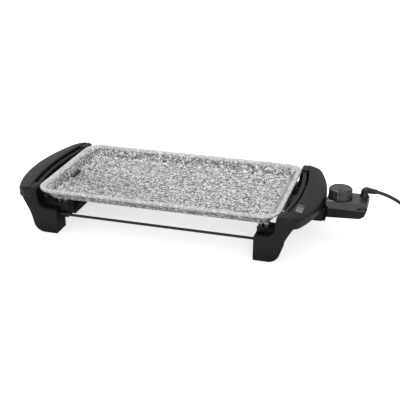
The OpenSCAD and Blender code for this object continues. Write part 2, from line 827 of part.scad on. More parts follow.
// Tie strap round all the turns, where they lie in two rows
module coil_tie() {
    inner = coil_r + turn_pitch / 4 - cord_d / 2 - 0.3;
    outer = coil_out_r - turn_pitch / 4 + cord_d / 2 + 0.3;
    high = coil_start.z + layer_rise + cord_d / 2 + 0.5;
    color("#111111") stand()
        translate([coil_x + (inner + outer) / 2, coil_y + tie_w / 2, (high + tie_t) / 2 + 0.05])
        rotate([90, 0, 0]) linear_extrude(tie_w) difference() {
            polygon(round_rect(outer - inner + 2 * tie_t, high + tie_t, 3));
            polygon(round_rect(outer - inner, high - tie_t, 2));
        }
}

// Moulded plug that lies beside the coil, its pins pointing back past the end
plug_tail = coil_path[len(coil_path) - 1];
plug_l = 54;
module mains_plug() {
    color(soft_black) stand() translate(plug_tail) rotate([0, -90, 0]) difference() {
        rotate_extrude() polygon(concat(
            [[0, 0], [cord_d / 2 + 0.8, 0], [cord_d / 2 + 2.6, 20], [9, 22]],
            arc(9, 32, 9.5, -60, 0, 5),
            [[plug_r, plug_l - 2], [plug_r - 2, plug_l], [0, plug_l]]
        ));
        for (s = [-1, 1]) translate([s * (plug_r + 1.5), 0, plug_l]) cube([7, 7, 20], center = true);
        for (s = [-1, 1]) translate([0, s * plug_pin_pitch / 2, plug_l - 8])
            cylinder(d = pin_root_d + 2 * run_gap, h = 9);
    }
}

module plug_pins() {
    color(brassy) stand() for (s = [-1, 1]) {
        bar(plug_tail + [8 - plug_l, s * plug_pin_pitch / 2, 0],
            plug_tail + [-1 - plug_l, s * plug_pin_pitch / 2, 0], pin_root_d);
        bar(plug_tail + [-plug_l, s * plug_pin_pitch / 2, 0],
            plug_tail + [-18 - plug_l, s * plug_pin_pitch / 2, 0], plug_pin_d);
    }
}

griddle_plate();
heating_element();
terminal_pins();
terminal_insulators();
terminal_guard();
left_end_frame();
right_end_frame();
left_handle_cover();
right_handle_cover();
cover_screws();
front_tie_rod();
rear_tie_rod();
rubber_feet();
tray_rails();
drip_tray();
socket_shroud();
lamp_lens();
neon_lamp();
thermostat_base();
thermostat_top();
contact_block();
contact_sockets();
sensor_probe();
switch_block();
control_knob();
knob_spindle();
knob_cap();
housing_screws();
strain_relief();
power_cord();
power_cord_coil();
coil_tie();
mains_plug();
plug_pins();
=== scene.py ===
# %% [markdown]
# # Dressing an electric table griddle
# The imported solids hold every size. This lesson gives them their looks: a speckled
# stone-look coating on the plate, soft edges on the black mouldings and a flexible lead.
# Sizes are typed in millimetres and turned to metres, in the frame of the solids.

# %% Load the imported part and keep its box
import json
import math

import bmesh
import bpy
from mathutils import Matrix, Vector


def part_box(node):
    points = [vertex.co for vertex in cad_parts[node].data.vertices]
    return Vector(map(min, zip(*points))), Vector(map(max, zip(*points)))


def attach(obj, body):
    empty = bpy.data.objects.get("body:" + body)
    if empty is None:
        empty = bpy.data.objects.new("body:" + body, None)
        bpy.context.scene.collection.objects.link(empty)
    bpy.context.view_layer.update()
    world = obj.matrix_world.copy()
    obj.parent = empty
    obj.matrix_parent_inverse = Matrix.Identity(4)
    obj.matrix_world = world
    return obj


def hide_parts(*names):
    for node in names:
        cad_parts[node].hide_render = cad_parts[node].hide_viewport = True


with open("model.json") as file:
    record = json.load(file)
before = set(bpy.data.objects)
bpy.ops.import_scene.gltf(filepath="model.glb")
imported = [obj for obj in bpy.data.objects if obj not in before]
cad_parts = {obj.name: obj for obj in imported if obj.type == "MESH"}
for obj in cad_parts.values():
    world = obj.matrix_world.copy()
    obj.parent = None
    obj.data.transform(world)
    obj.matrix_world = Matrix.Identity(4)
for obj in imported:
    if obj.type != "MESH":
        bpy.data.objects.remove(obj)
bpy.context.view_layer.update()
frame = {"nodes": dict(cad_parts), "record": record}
MM = 0.001
plate_low, plate_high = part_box("griddle_plate")
HALF_LENGTH = (plate_high.x - plate_low.x) / 2
HALF_WIDTH = (plate_high.y - plate_low.y) / 2
PLATE_X = (plate_high.x + plate_low.x) / 2
RIM_TOP = plate_high.z / MM
print("plate:", round(2 * HALF_LENGTH, 4), "by", round(2 * HALF_WIDTH, 4), "m")


def at(x, y, z):
    """A point given in millimetres from the middle of the plate, in the frame's metres."""
    return Vector((PLATE_X + x * MM, y * MM, z * MM))


def linked(name, data):
    """A new object that holds some data, linked to the scene."""
    made = bpy.data.objects.new(name, data)
    bpy.context.scene.collection.objects.link(made)
    return made


def mesh_of(bm, name):
    """Turns a bmesh into a mesh and frees it."""
    mesh = bpy.data.meshes.new(name)
    bm.to_mesh(mesh)
    bm.free()
    return mesh


# %% [markdown]
# ## The camera
# The picture was taken from the front, a little to the right and 23 degrees above the
# table. Four edges of the plate fix the camera: its turn, its height and its distance.
# It comes before any piece, because the lead has to leave its view.

# %% Place the camera
TURN, RISE = math.radians(16.53), math.radians(23.41)
PICTURE_WIDTH, FOCAL_PIXELS = 400, 825.8
SENSOR_WIDTH = 36
CAMERA_PLACE = (468.0, -1400.3, 677.65)
back = Vector((math.sin(TURN) * math.cos(RISE), -math.cos(TURN) * math.cos(RISE), math.sin(RISE)))
camera = linked("camera", bpy.data.cameras.new("camera"))
camera.data.sensor_width = SENSOR_WIDTH
camera.data.lens = SENSOR_WIDTH * FOCAL_PIXELS / PICTURE_WIDTH
camera.location = at(*CAMERA_PLACE)
camera.rotation_euler = (-back).to_track_quat("-Z", "Y").to_euler()
camera.data.clip_start, camera.data.clip_end = 0.05, 50
bpy.context.scene.camera = camera
print("lens:", round(camera.data.lens, 1), "mm")


# %% [markdown]
# ## Materials
# Each material is a small tree of nodes. One function adds a node with its settings and
# links, and one turns the hex colours of a paint chart into the linear values that
# the renderer works with.

# %% Helpers for materials
def colour(hex_code):
    """A hex colour as linear red, green, blue and alpha."""
    parts = [int(hex_code[i : i + 2], 16) / 255 for i in (1, 3, 5)]
    linear = [c / 12.92 if c <= 0.04045 else ((c + 0.055) / 1.055) ** 2.4 for c in parts]
    return (*linear, 1)


def add(material, kind, links=None, stops=(), **settings):
    """Adds a node to a material or the world. Links maps a socket to a value or to another
    node's output. A colour ramp also takes its (position, hex colour) stops."""
    tree = material.node_tree
    node = tree.nodes.new("ShaderNode" + kind)
    for name, value in settings.items():
        setattr(node, name, value)
    if stops:
        marks = node.color_ramp.elements
        while len(marks) < len(stops):
            marks.new(0.5)
        for mark, (position, code) in zip(marks, stops):
            mark.position, mark.color = position, colour(code)
    for socket, value in (links or {}).items():
        if isinstance(value, bpy.types.NodeSocket):
            tree.links.new(value, node.inputs[socket])
        else:
            node.inputs[socket].default_value = value
    return node


def start(name):
    """An empty material, and the object's own coordinates in it."""
    material = bpy.data.materials.new(name)
    material.use_nodes = True
    material.node_tree.nodes.clear()
    return material, add(material, "TexCoord").outputs["Object"]


def per_mm(size):
    """Texture scale at which one cell of a pattern is size millimetres wide."""
    return 1 / (size * MM)


FINISHES = {}
print("#808080 as linear light:", round(colour("#808080")[0], 3))

# %% [markdown]
# ### Stone-look coating
# The plate is cast aluminium under a non-stick coating that is sprayed in layers: a pale
# grey base, then flecks of white, blue-grey, black and a little tan. Real flecks are
# 0.5 to 4 mm wide. Each layer is noise cut at a level, so that its flecks have
# ragged edges, and the later layers lie over the earlier ones. All but the first take only
# the peaks of their noise, so its cells, 3 to 5 mm wide, are wider than the flecks. The
# walls carry larger dark blotches of painted shade, the lip is painted paler as a painted
# highlight, and the underside is dark, each from a depth under the rim. To the eye it is
# granite-like and half-matt, without one clear highlight.

# %% Make the stone-look coating
# Each layer: colour, size, the two levels of its cut and the shift of its noise
LAYERS = (
    ("#a2a4a5", 7.0, 0.48, 0.52, 3.0),
    ("#63676a", 5.0, 0.535, 0.555, 7.0),
    ("#a39a84", 4.0, 0.61, 0.63, 19.0),
    ("#2f3336", 4.4, 0.57, 0.588, 11.0),
    ("#ffffff", 4.2, 0.56, 0.58, 23.0),
    ("#1b1d20", 3.0, 0.62, 0.64, 31.0),
)
# Larger blotches of painted shade on the walls: size, the two levels of their cut and the shift of
# their noise
WALL_SHADE_BLOTCHES = (9, 0.44, 0.56, 41)
# The depths under the rim between which each zone sets in
WALL_FOOT, WALL_HEAD, LIP, UNDERSIDE = (19, 16), (3, 5), (6.2, 3.4), (23.4, 24.4)
COAT_GRAIN_MM, COAT_BUMP_MM = 0.9, 0.2


def flecks(material, place, size, low, high, shift):
    """A mask of ragged flecks: noise of a size in millimetres, cut between two levels."""
    moved = add(material, "Mapping", {"Vector": place, "Location": (shift, shift * 0.7, 0)})
    noise = add(
        material,
        "TexNoise",
        {"Vector": moved.outputs[0], "Scale": per_mm(size), "Detail": 3.0, "Roughness": 0.62},
    )
    return add(
        material, "MapRange", {"Value": noise.outputs["Fac"], "From Min": low, "From Max": high}
    ).outputs[0]


def stone_coating():
    material, place = start("stone_look_coating")
    height = add(material, "SeparateXYZ", {"Vector": place}).outputs["Z"]

    def zone(first, second):
        """A mask that goes from 0 to 1 between two depths under the rim."""
        ends = {"From Min": (RIM_TOP - first) * MM, "From Max": (RIM_TOP - second) * MM}
        return add(material, "MapRange", {"Value": height, **ends}).outputs[0]

    shade = colour("#dcdcd9")
    for code, *pattern in LAYERS:
        layer = {"Fac": flecks(material, place, *pattern), "Color1": shade}
        shade = add(material, "MixRGB", {**layer, "Color2": colour(code)}).outputs["Color"]
    wall_shade_blotches = flecks(material, place, *WALL_SHADE_BLOTCHES)
    # Each zone: colour, mask, and the masks and shares that limit it
    for code, amount, *limits in (
        # Painted shade in blotches on the walls
        ("#50555a", wall_shade_blotches, zone(*WALL_FOOT), zone(*WALL_HEAD), 0.5),
        # A painted highlight: the lip is painted paler where light catches it
        ("#dcdee1", zone(*LIP), 0.58),
        ("#34373a", zone(*UNDERSIDE)),
    ):
        for limit in limits:
            product = add(material, "Math", {0: amount, 1: limit}, operation="MULTIPLY")
            amount = product.outputs[0]
        layer = {"Fac": amount, "Color1": shade, "Color2": colour(code)}
        shade = add(material, "MixRGB", layer).outputs["Color"]
    grain = add(
        material, "TexNoise", {"Vector": place, "Scale": per_mm(COAT_GRAIN_MM), "Detail": 3.0}
    ).outputs["Fac"]
    bump = add(
        material, "Bump", {"Height": grain, "Strength": 0.25, "Distance": COAT_BUMP_MM * MM}
    )
    gloss = add(material, "MapRange", {"Value": grain, "To Min": 0.34, "To Max": 0.5})
    shader = add(
        material,
        "BsdfPrincipled",
        {
            "Base Color": shade,
            "Roughness": gloss.outputs[0],
            "Specular IOR Level": 0.45,
            "Normal": bump.outputs[0],
        },
    )
    add(material, "OutputMaterial", {"Surface": shader.outputs[0]})
    return material


FINISHES["stone_coating"] = stone_coating()
print("coating:", len(FINISHES["stone_coating"].node_tree.nodes), "nodes")

# %% [markdown]
# ### Moulded plastics
# The end frames and the thermostat are moulded in black plastic. The mould's spark-eroded
# grain gives a fine texture of about a third of a millimetre that spreads the highlights.
# Edges of a moulding are never sharp, so a small rounding is added to the shading.
# Narrow places are painted in near-black shade, found by how open the air is around them.
# A wide soft clouding varies colour and gloss, as on plastic that has been handled.

# %% Make the tree of a moulded material
GRAIN_MM, GRAIN_DEPTH, CLOUD_MM = 0.35, 0.03, 28
# A place with less than this share of open air is fully in painted shade
CLOSED = 0.55


def moulded(name, dark, light, rough, edge=0.6, shine=0.5, crevice_shade=22):
    """A moulded material, painted near black in its narrow places as shade. Edge and crevice_shade
    are in millimetres.
    """
    material, place = start(name)
    cloud = add(
        material, "TexNoise", {"Vector": place, "Scale": per_mm(CLOUD_MM), "Detail": 3.0}
    ).outputs["Fac"]
    shades = add(material, "ValToRGB", {"Fac": cloud}, stops=[(0.3, dark), (0.7, light)])
    # Painted shade: narrow places are mixed toward near black by how closed in the air around them
    # is
    air = add(material, "AmbientOcclusion", {"Distance": crevice_shade * MM}, samples=8).outputs["AO"]
    unshaded_share = add(material, "MapRange", {"Value": air, "From Min": CLOSED, "From Max": 1.0})
    shade = add(
        material,
        "MixRGB",
        {
            "Fac": unshaded_share.outputs[0],
            "Color1": colour("#050505"),
            "Color2": shades.outputs["Color"],
        },
    ).outputs["Color"]
    grain = add(
        material, "TexNoise", {"Vector": place, "Scale": per_mm(GRAIN_MM), "Detail": 2.0}
    ).outputs["Fac"]
    rounded = add(material, "Bevel", {"Radius": edge * MM}, samples=4)
    bump = add(
        material,
        "Bump",
        {
            "Height": grain,
            "Strength": 0.5,
            "Distance": GRAIN_DEPTH * MM,
            "Normal": rounded.outputs[0],
        },
    )
    gloss = add(
        material, "MapRange", {"Value": cloud, "To Min": rough - 0.04, "To Max": rough + 0.05}
    )
    shader = add(
        material,
        "BsdfPrincipled",
        {
            "Base Color": shade,
            "Roughness": gloss.outputs[0],
            "Specular IOR Level": shine,
            "Normal": bump.outputs[0],
        },
    )
    add(material, "OutputMaterial", {"Surface": shader.outputs[0]})
    return material


print("moulded grain:", GRAIN_MM, "mm")

# %% [markdown]
# The same tree serves for rubber, glaze and glass. Gloss tells them apart: a polished
# mould leaves a low roughness and a high shine, a grained one the reverse. Edge and
# crevice_shade, in millimetres, fit the rounding and the reach of the painted shade to
# the size of the piece.

# %% Make the plastics, the rubber, the glaze and the glass
FINISHES.update(
    # Black thermoplastic from a grained mould: near black, with wide dull highlights
    black_moulding=moulded("moulded_black_plastic", "#0f0f10", "#141415", 0.42, shine=0.3),
    # Housing plastic from a satin mould: dark grey, with a clear highlight on its top
    thermostat_grey=moulded(
        "satin_housing_plastic", "#262628", "#2e2e30", 0.28, shine=0.95, crevice_shade=4
    ),
    # Knob plastic from a polished mould: dark flutes between narrow bright lines
    knob_black=moulded(
        "knob_plastic", "#101011", "#161617", 0.22, edge=0.3, shine=1.0, crevice_shade=3
    ),
    # Moulded polypropylene: flat and dark under the plate
    tray_moulding=moulded("tray_plastic", "#151516", "#1a1a1b", 0.45),
    # Pressed phenolic resin: dull, with its brown cast
    contact_moulding=moulded("phenolic_moulding", "#2c2722", "#393229", 0.5),
    # Moulded rubber: matt, without a highlight
    foot_rubber=moulded("foot_rubber", "#151515", "#1c1c1c", 0.75, edge=0.3),
    # Extruded and moulded soft PVC: one soft line of light along the lead
    cord_rubber=moulded("cord_sheath", "#161617", "#1d1d1e", 0.38, edge=0.3),
    # Moulded nylon strap: a little darker than the lead, with crisper edges
    tie_plastic=moulded("tie_strap", "#101010", "#151515", 0.4, edge=0.2),
    # Glazed steatite: warm white, with a sharp highlight
    ceramic=moulded("glazed_ceramic", "#d8d3c6", "#e8e3d6", 0.2, edge=0.3, shine=0.6),
    # Blown glass over the glow of neon: a warm, slightly clouded red
    lamp_glow=moulded("red_neon_glass", "#b04030", "#cf5a40", 0.25, edge=0.3),
)
print("finishes:", ", ".join(FINISHES))

# %% [markdown]
# ### Metals
# Drawn rods and pins have fine marks along their length; bent sheet has a rolled
# grain. Noise stretched along one axis changes the roughness, which is how such marks show.
# They are about 6 mm long and 14 times as narrow, and a little darker than the metal.

# %% Make the tree of a drawn metal
MARK_MM, ALONG_X = 6, (1, 14, 14)
DULL_SHARE = 0.86


def drawn_metal(name, code, rough, metallic=1.0):
    """A metal with marks along X, or a coat over it when metallic is 0."""
    material, place = start(name)
    drawn = add(material, "Mapping", {"Vector": place, "Scale": ALONG_X})
    marks = add(
        material,
        "TexNoise",
        {"Vector": drawn.outputs[0], "Scale": per_mm(MARK_MM), "Detail": 3.0},
    ).outputs["Fac"]
    gloss = add(
        material, "MapRange", {"Value": marks, "To Min": rough - 0.1, "To Max": rough + 0.12}
    )
    dull = "#%02x%02x%02x" % tuple(int(int(code[i : i + 2], 16) * DULL_SHARE) for i in (1, 3, 5))
    shade = add(material, "ValToRGB", {"Fac": marks}, stops=[(0.3, dull), (0.7, code)])
    shader = add(
        material,
        "BsdfPrincipled",
        {
            "Base Color": shade.outputs["Color"],
            "Roughness": gloss.outputs[0],
            "Metallic": metallic,
        },
    )
    add(material, "OutputMaterial", {"Surface": shader.outputs[0]})
    return material


print("drawn marks:", MARK_MM, "mm")

# %% [markdown]
# The metals differ in colour and gloss alone. Heat and plating give a metal its tint, and
# a coat such as enamel hides the metal, so it counts as none.

# %% Make the metals
FINISHES.update(
    # Steel sheath that has been red hot: brownish and dull
    element_steel=drawn_metal("heat_tinted_steel", "#6d655c", 0.5),
    # Cold-rolled sheet: grey with a faint grain
    sheet_steel=drawn_metal("rolled_sheet_steel", "#9b9b9b", 0.4),
    # Zinc-plated steel: bluish and bright
    screw_steel=drawn_metal("zinc_plated_steel", "#a4a6aa", 0.35),
    # Drawn stainless tube: bright, with fine lines along it
    probe_steel=drawn_metal("bright_drawn_steel", "#b9b9b7", 0.28),
    # Turned brass: yellow, with soft reflections
    brass=drawn_metal("brass", "#c7a75a", 0.3),
    # Nickel-plated brass: bright and slightly warm
    nickel=drawn_metal("nickel_plate", "#b9b7b0", 0.25),
    # Enamel baked on steel rods: black, with one thin line of light
    blackened_rod=drawn_metal("black_enamelled_rod", "#1b1b1c", 0.36, metallic=0.0),
)
print("finishes:", len(FINISHES))

# %% [markdown]
# ### Pilot lamp
# The lens is clear plastic over a small neon lamp. The lamp lies at its rear end, so that
# end is painted dark red for its glow, a pale line crosses it, and the front end carries a
# painted grey reflection. A ramp along the lens paints all three, and a clear coat gives
# the eye the gloss of a small window.

# %% Make the lens of the pilot lamp
LENS_FRONT_Y, LENS_REAR_Y = -102, -66
HAZE_MM, HAZE_SHARE = 5, 0.12


def lamp_lens():
    material, place = start("pilot_lamp_lens")
    along = add(material, "SeparateXYZ", {"Vector": place}).outputs["Y"]
    ends = {"From Min": LENS_FRONT_Y * MM, "From Max": LENS_REAR_Y * MM}
    share = add(material, "MapRange", {"Value": along, **ends}).outputs[0]
    cloud = add(
        material, "TexNoise", {"Vector": place, "Scale": per_mm(HAZE_MM), "Detail": 2.0}
    ).outputs["Fac"]
    # Along the lens, front to rear: dark ends, a painted grey reflection, a pale line and the
    # lamp's glow painted in red
    painted_glow_and_reflection = [
        (0.0, "#1a1a1b"), (0.12, "#3f4042"), (0.3, "#8b8d8f"), (0.46, "#2c2b2c"),
        (0.58, "#a18a88"), (0.64, "#3f2221"), (0.85, "#4d2725"), (1.0, "#221718"),
    ]
    haze = [(0.3, "#3a3a3b"), (0.7, "#8a8a8b")]
    shade = add(
        material,
        "MixRGB",
        {
            "Fac": HAZE_SHARE,
            "Color1": add(material, "ValToRGB", {"Fac": share}, stops=painted_glow_and_reflection).outputs["Color"],
            "Color2": add(material, "ValToRGB", {"Fac": cloud}, stops=haze).outputs["Color"],
        },
    ).outputs["Color"]
    shader = add(
        material,
        "BsdfPrincipled",
        {"Base Color": shade, "Roughness": 0.18, "Specular IOR Level": 0.6, "Coat Weight": 0.4},
    )
    add(material, "OutputMaterial", {"Surface": shader.outputs[0]})
    return material


FINISHES["lamp_clear"] = lamp_lens()
print("lamp lens:", len(FINISHES["lamp_clear"].node_tree.nodes), "nodes")

# %% [markdown]
# ## Finishes for the solids
# The record names a material slot for each solid, and the bodies that move together. A
# solid whose shape is right stays, so each gets its slot's finish here. The pieces made
# below replace some of them, and take their finish and their body from the same tables.

# %% Give every solid its finish
SLOT_OF = {s["node"]: s["material_slot"] for s in frame["record"]["subparts"]}
BODIES = frame["record"]["behaviour"]["bodies"]
BODY_OF = {node: body for body, members in BODIES.items() for node in members}
for name, node in frame["nodes"].items():
    node.data.materials.clear()
    node.data.materials.append(FINISHES[SLOT_OF[name]])
print("solids:", len(SLOT_OF), "on the bodies", ", ".join(BODIES))

# %% [markdown]
# ## From a bmesh to a finished piece
# A new piece is built in the frame's own metres, gets smooth shading up to an
# angle, and then rides on the body of the solid that it stands for. A solid's mesh is
# loose triangles, so a copy of it is merged before its edges can be rounded.

# %% Helpers that finish a piece
WELD = 1e-6
# An edge is sharp, and is rounded, where its faces turn by more than this many degrees
SHARP, ROUND_STEPS = 40, 3


def finish_piece(bm, name, node, sharp=35):
    """Makes an object of a bmesh, with the finish and the body of a node."""
    for edge in bm.edges:
        edge.smooth = not edge.is_manifold or edge.calc_face_angle() < math.radians(sharp)
    for face in bm.faces:
        face.smooth = True
    piece = linked(name, mesh_of(bm, name))
    piece.data.materials.append(FINISHES[SLOT_OF[node]])
    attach(piece, BODY_OF[node])
    return piece


def merged_copy(node):
    """A copy of a solid's mesh with its triangles joined into whole faces."""
    bm = bmesh.new()
    bm.from_mesh(frame["nodes"][node].data)
    bmesh.ops.remove_doubles(bm, verts=bm.verts, dist=WELD)
    bmesh.ops.dissolve_limit(bm, angle_limit=math.radians(0.5), verts=bm.verts, edges=bm.edges)
    return bm


def soften(bm, radius, long_edge):
    """Rounds the sharp edges that are longer than long_edge, and counts them."""
    chosen = [
        e
        for e in bm.edges
        if e.is_manifold
        and e.calc_face_angle() > math.radians(SHARP)
        and e.calc_length() > long_edge
    ]
    bmesh.ops.bevel(
        bm,
        geom=chosen,
        offset=radius,
        segments=ROUND_STEPS,
        profile=0.5,
        affect="EDGES",
        material=-1,
        clamp_overlap=True,
    )
    return len(chosen)


print("weld distance:", WELD, "m")

# %% [markdown]
# ## The lead
# A 6.5 mm round lead leaves the thermostat's elbow, sags to the table and is wound into a
# coil that a strap holds, outside the picture. The free points repeat the
# solid's route. The coil winds in on the table, climbs by half a turn and winds out again
# on top of itself, and its last quarter turn is lifted to the height of the plug.

# %% Set out the lead's route and its coil
ROUTE = [
    (382.5, 28, 90), (391, 28, 88.3), (400.5, 28, 85.5), (410, 28.3, 81.6), (419, 29, 76.9),
    (428, 30.2, 70.8), (436.5, 32, 63.5), (444, 34.3, 55.5), (451, 37, 46.5), (458, 40, 37),
    (465.5, 43.3, 27.5), (474, 46.8, 18.5), (484, 50.4, 11), (495.5, 53.5, 6.4), (508, 55.8, 4.7),
    (521, 57, 4.5),
]
LEAD_D, PLUG_R = 6.5, 18.5
INNER_R, LAYER_TURNS, PITCH, LAYER_RISE, CLIMB_DIP = 29.5, 2.5, LEAD_D + 0.9, LEAD_D + 0.7, 1.4
OUTER_R = INNER_R + LAYER_TURNS * PITCH
# In degrees: half a turn to climb to the second layer, a quarter to lift the end
CLIMB, LIFT = 180, 90
CLIMB_FROM = LAYER_TURNS * 360
CLIMB_TO = CLIMB_FROM + CLIMB
COIL_END = CLIMB_TO + LAYER_TURNS * 360
LOW = ROUTE[-1][2]
COIL_X, COIL_Y = ROUTE[-1][0] + LEAD_D, ROUTE[-1][1] + OUTER_R


def ease(t):
    """Goes softly from 0 to 1."""
    t = min(max(t, 0), 1)
    return t * t * (3 - 2 * t)


def coil_point(angle):
    """A point of the coil's middle line, in millimetres from the plate's middle."""
    if angle < CLIMB_FROM:
        radius = OUTER_R - PITCH * angle / 360
    elif angle < CLIMB_TO:
        radius = INNER_R - CLIMB_DIP * math.sin(math.radians(angle - CLIMB_FROM))
    else:
        radius = INNER_R + PITCH * (angle - CLIMB_TO) / 360
    height = LOW + LAYER_RISE * ease((angle - CLIMB_FROM) / CLIMB)
    height += (PLUG_R - LOW - LAYER_RISE) * ease((angle - COIL_END + LIFT) / LIFT)
    turn = math.radians(angle)
    return (COIL_X + radius * math.sin(turn), COIL_Y - radius * math.cos(turn), height)


print("turns of the coil:", COIL_END / 360)

# %% [markdown]
# The route's points are joined by a smooth curve, and the coil's by short straight steps.
# A curve with a round section is the plain way to a lead of even thickness.

# %% Lay the lead
def smooth_line(points, steps):
    """Adds points on a smooth curve through the given ones."""
    line = []
    for i in range(len(points) - 1):
        a, b, c, d = (points[min(max(i + k, 0), len(points) - 1)] for k in (-1, 0, 1, 2))
        for s in range(steps):
            t = s / steps
            line.append(
                0.5
                * (2 * b + (c - a) * t + (2 * a - 5 * b + 4 * c - d) * t**2
                   + (3 * b - a - 3 * c + d) * t**3)
            )
    return [*line, points[-1]]


STEPS_PER_POINT, COIL_STEP = 4, 6
free_line = smooth_line([at(*p) for p in ROUTE], STEPS_PER_POINT)
wound_line = [at(*coil_point(a)) for a in range(0, int(COIL_END) + 1, COIL_STEP)]
# A short straight end goes into the plug
tail = at(*coil_point(COIL_END)) - Vector((LEAD_D * MM, 0, 0))
lead_line = [*free_line, *wound_line, tail]
lead_curve = bpy.data.curves.new("lead", "CURVE")
lead_curve.dimensions = "3D"
lead_curve.bevel_depth = LEAD_D / 2 * MM
lead_curve.bevel_resolution = 4
lead_curve.use_fill_caps = True
spline = lead_curve.splines.new("POLY")
spline.points.add(len(lead_line) - 1)
for point, place in zip(spline.points, lead_line):
    point.co = (*place, 1)
spline.use_smooth = True
lead = linked("lead", lead_curve)
lead_curve.materials.append(FINISHES["cord_rubber"])
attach(lead, "thermostat")
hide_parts("power_cord", "power_cord_coil")
lead_length = sum((b - a).length for a, b in zip(lead_line, lead_line[1:]))
print("lead:", round(lead_length, 3), "m")

# %% [markdown]
# ## The plate
# The plate is cast in one piece: a lip all round, walls that lean in, and a flat
# floor. It could be a block with bevelled edges and a pocket, but its soft lip changes
# curve too often for that, so it is a stack of rounded rectangles, bridged one to the next.
# Every ring starts as a circle whose four quarters are pulled apart. The lip is crowned
# by a tenth of a millimetre, because two rings at one height would be bridged crosswise.

# %% Make the pan of the plate
RING_STEPS = 64
PAN_DEPTH, FLOOR_T = 20, 3.5


def rounded_ring(bm, inset, z, corner):
    """A rounded rectangle that lies inset millimetres inside the rim. Its circle starts
    turned by half a step, so that no vertex lies between two quarters."""
    made = bmesh.ops.create_circle(
        bm,
        segments=RING_STEPS,
        radius=corner * MM,
        matrix=Matrix.Rotation(math.pi / RING_STEPS, 4, "Z"),
    )["verts"]
    for vert in made:
        side_x, side_y = math.copysign(1, vert.co.x), math.copysign(1, vert.co.y)
        vert.co.x += PLATE_X + side_x * (HALF_LENGTH - (inset + corner) * MM)
        vert.co.y += side_y * (HALF_WIDTH - (inset + corner) * MM)
        vert.co.z = z * MM
    return made


def edges_of(ring):
    """The edges between the vertices of a ring."""
    inside = set(ring)
    return list({e for v in ring for e in v.link_edges if set(e.verts) <= inside})


def stack(bm, rings):
    """Bridges rings of equal vertex count in order and closes the two ends."""
    loops = [edges_of(ring) for ring in rings]
    for first, second in zip(loops, loops[1:]):
        bmesh.ops.bridge_loops(bm, edges=first + second)
    for ring in (rings[0], rings[-1]):
        bmesh.ops.contextual_create(bm, geom=edges_of(ring))
    bmesh.ops.recalc_face_normals(bm, faces=bm.faces)


pan = bmesh.new()
under, top = RIM_TOP - PAN_DEPTH - FLOOR_T, RIM_TOP
# Each step: how far inside the rim, its height and the radius of its corners
profile = [
    (23.5, under, 10.5), (21.1, under + 0.5, 12.5), (19.2, under + 2.1, 14.4),
    (4.8, top - 6.4, 27.5), (3.4, top - 5.2, 28.8), (1.0, top - 5.0, 31),
    (0.2, top - 4.4, 31.8), (0, top - 3.6, 32), (0, top - 1.5, 32), (0.45, top - 0.6, 31.6),
    (1.5, top - 0.12, 30.7), (3.4, top, 29.1), (5.6, top - 0.1, 27.2),
    (6.9, top - 0.45, 26.2), (8.1, top - 1.6, 25.3),
    (19.0, top - 16.1, 15.0), (20.7, top - 18.1, 13.4), (22.8, top - 19.5, 11.6),
    (26.0, top - PAN_DEPTH, 9.2),
]
stack(pan, [rounded_ring(pan, *step) for step in profile])
print("pan:", len(pan.faces), "faces")

# %% [markdown]
# The drain slot goes right through the floor at the foot of the left wall. A Boolean
# modifier cuts it with a block that has rounded ends, and is applied at once.
# What is cast under the floor comes from the solid, cut off just under the floor. Its cut
# edge is lifted by half a millimetre into the floor, so that no gap shows between them.

# %% Cut the drain slot and add what is cast underneath
DRAIN_SLOT = ((-212.5, -15, 40), (-203.5, 27, 110))
SLOT_ROUNDING = 3
CUT_BELOW, CUT_LIFT = 0.1, 0.5


def cutter_block(low, high, rounding):
    """A block between two corners, with rounded upright edges, to cut with."""
    bm = bmesh.new()
    size = high - low
    bmesh.ops.create_cube(
        bm, size=1, matrix=Matrix.Translation((low + high) / 2) @ Matrix.Diagonal((*size, 1))
    )
    upright = [e for e in bm.edges if abs(e.verts[0].co.z - e.verts[1].co.z) > size.z / 2]
    bmesh.ops.bevel(
        bm, geom=upright, offset=rounding, segments=5, profile=0.5, affect="EDGES", material=-1
    )
    return linked("cutter", mesh_of(bm, "cutter"))


def cut(piece, cutter):
    """Takes a cutter away from a piece's mesh and removes the cutter."""
    hole = piece.modifiers.new("hole", "BOOLEAN")
    hole.operation, hole.solver, hole.object = "DIFFERENCE", "EXACT", cutter
    bpy.context.view_layer.update()
    ready = piece.evaluated_get(bpy.context.evaluated_depsgraph_get())
    mesh = bpy.data.meshes.new_from_object(ready)
    piece.modifiers.clear()
    piece.data = mesh
    bpy.data.objects.remove(cutter)


below = merged_copy("griddle_plate")
sliced = bmesh.ops.bisect_plane(
    below,
    geom=[*below.verts, *below.edges, *below.faces],
    plane_co=(0, 0, (under - CUT_BELOW) * MM),
    plane_no=(0, 0, 1),
    clear_outer=True,
)["geom_cut"]
rim_of_cut = [g for g in sliced if isinstance(g, bmesh.types.BMEdge)]
for vert in {v for e in rim_of_cut for v in e.verts}:
    vert.co.z += CUT_LIFT * MM
bmesh.ops.triangle_fill(below, edges=rim_of_cut, use_beauty=True)
plate = finish_piece(pan, "plate_pan", "griddle_plate", sharp=40)
castings = finish_piece(below, "plate_castings", "griddle_plate")
slot_low, slot_high = (at(*corner) for corner in DRAIN_SLOT)
for piece in (plate, castings):
    cut(piece, cutter_block(slot_low, slot_high, SLOT_ROUNDING * MM))
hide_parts("griddle_plate")
print("plate:", len(plate.data.polygons), "faces")

# %% [markdown]
# ## The handle covers
# Each cover is a half-moon: bowed a little along its ridge and more along its outer
# edge, with a conical top that falls away from the ridge. Its rings follow that outline,
# from the hollow underside down to the skirt's edge, up the skirt and over a soft edge,
# which gives the bowed sides and the falling top at once. The two screw bosses inside
# are kept from the solid: all else of its mesh is deleted.

